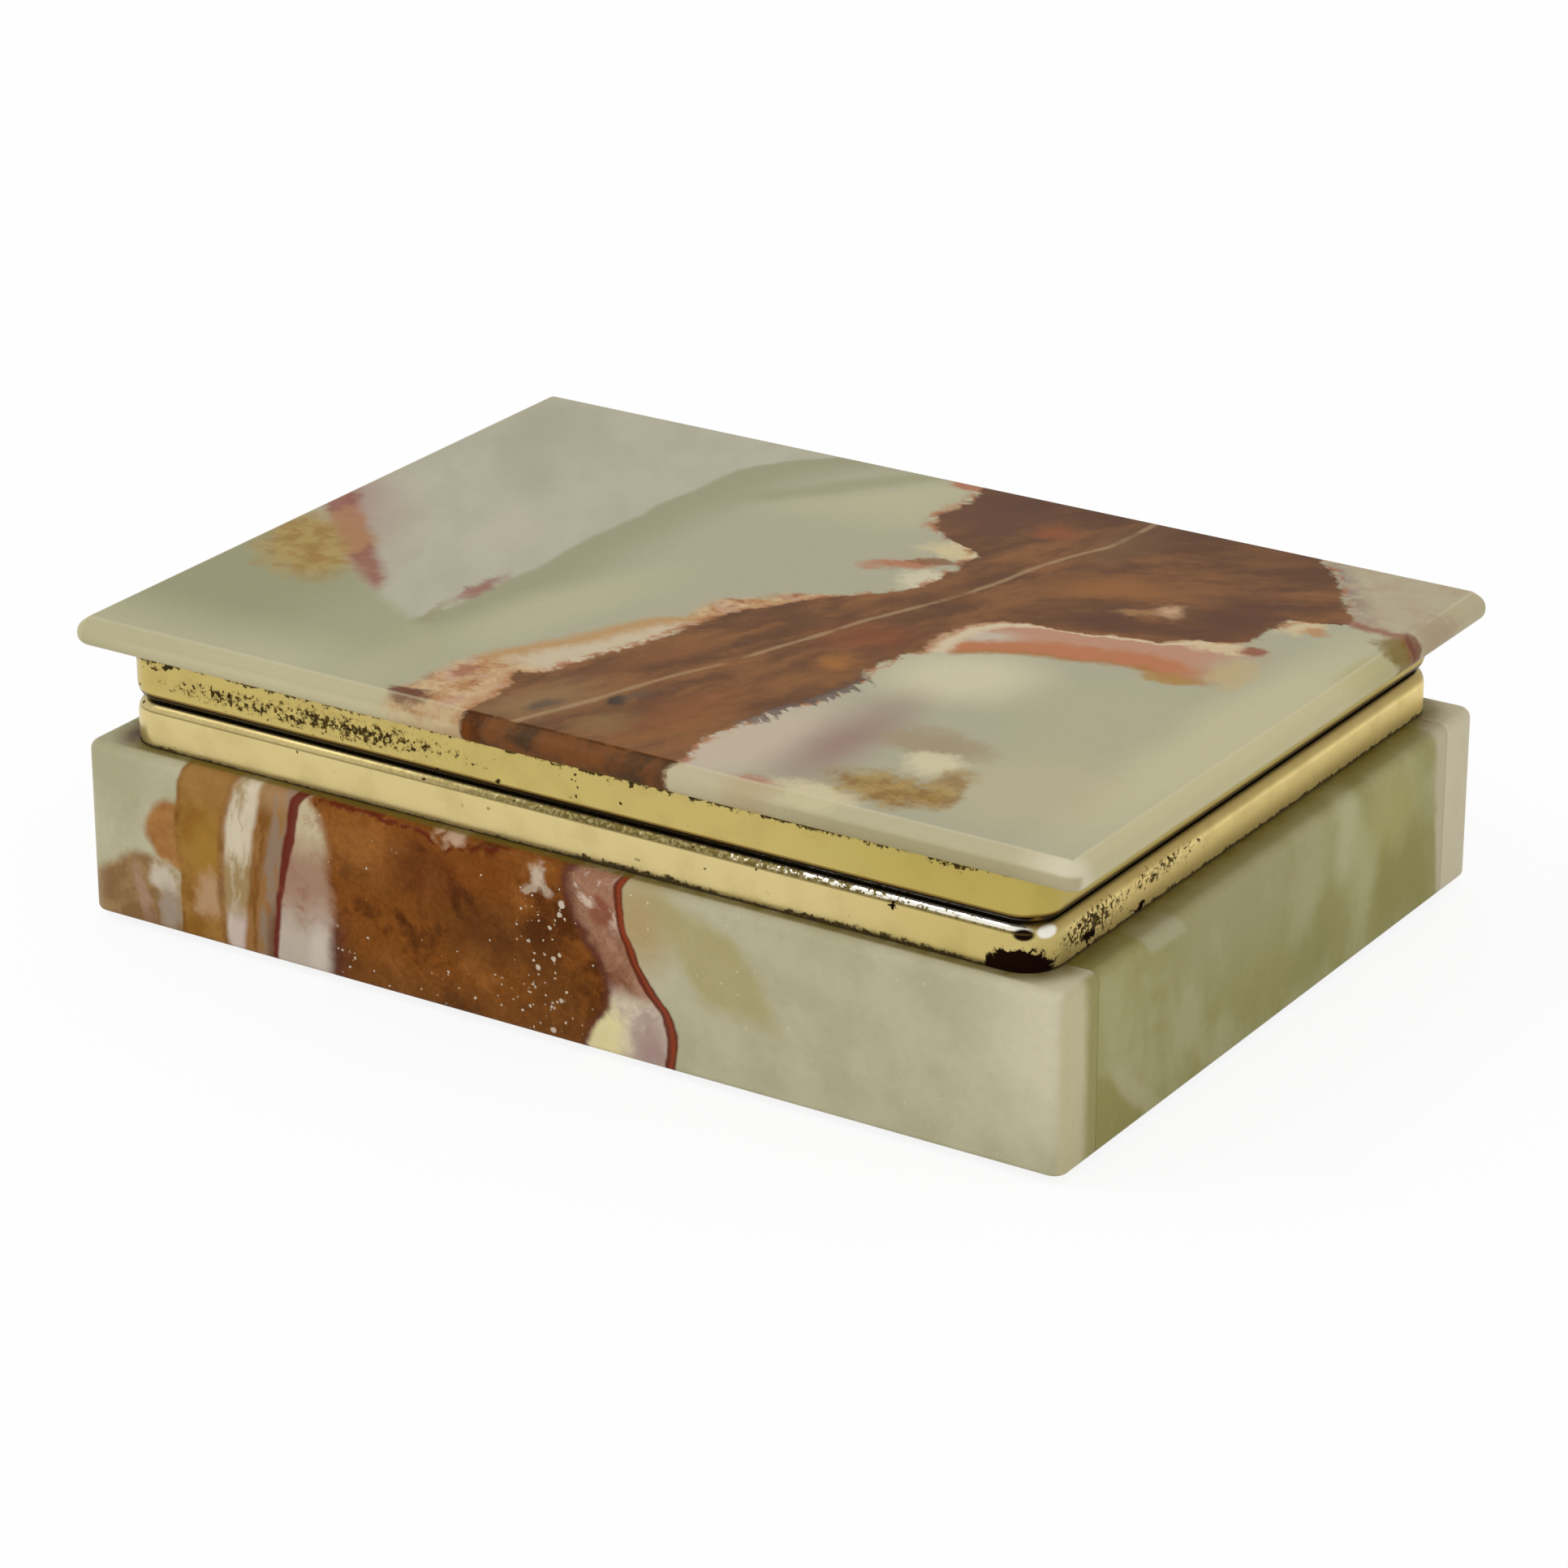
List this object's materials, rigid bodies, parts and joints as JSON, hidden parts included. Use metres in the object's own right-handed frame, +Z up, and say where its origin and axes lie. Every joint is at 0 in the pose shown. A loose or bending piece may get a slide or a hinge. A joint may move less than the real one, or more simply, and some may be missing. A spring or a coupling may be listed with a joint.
{
  "type": "cigarette box",
  "caption": "Rectangular stone keepsake box for cigarettes, with polished brass frames at the seam and a stone lid hinged along the back.",
  "frame": {"origin": "on the table, under the middle of the box", "axes": "+X along the front, to the right; +Y from the front to the hinge; +Z up"},
  "size_m": [0.1634, 0.118, 0.0454],
  "materials": {
    "onyx_brown": "polished banded onyx, amber brown with pale grey-green ends",
    "onyx_pale": "polished pale grey-green onyx",
    "onyx_green": "polished olive green clouded onyx",
    "onyx_lid": "polished pale onyx with a red-brown vein",
    "brass_polished": "polished, with dark corrosion specks",
    "brass_hinge": "satin, slightly tarnished",
    "felt": "pressed wool felt"
  },
  "bodies": {
    "base": {"base_front_wall": "onyx_brown", "base_back_wall": "onyx_pale", "base_left_wall": "onyx_green", "base_right_wall": "onyx_green", "base_floor": "onyx_pale", "base_rim": "brass_polished", "hinge_knuckle_1": "brass_hinge", "hinge_knuckle_3": "brass_hinge", "hinge_knuckle_5": "brass_hinge", "hinge_knuckle_7": "brass_hinge", "hinge_pin": "brass_hinge", "felt_pad_front_left": "felt", "felt_pad_front_right": "felt", "felt_pad_back_left": "felt", "felt_pad_back_right": "felt"},
    "lid": {"lid_slab": "onyx_lid", "lid_rim": "brass_polished", "hinge_knuckle_2": "brass_hinge", "hinge_knuckle_4": "brass_hinge", "hinge_knuckle_6": "brass_hinge"}
  },
  "joints": [
    {"name": "lid_hinge", "type": "hinge", "parent": "base", "child": "lid", "pos_m": [0, 0.0553, 0.03385], "axis": [-1, 0, 0], "range_deg": [0, 110]}
  ]
}
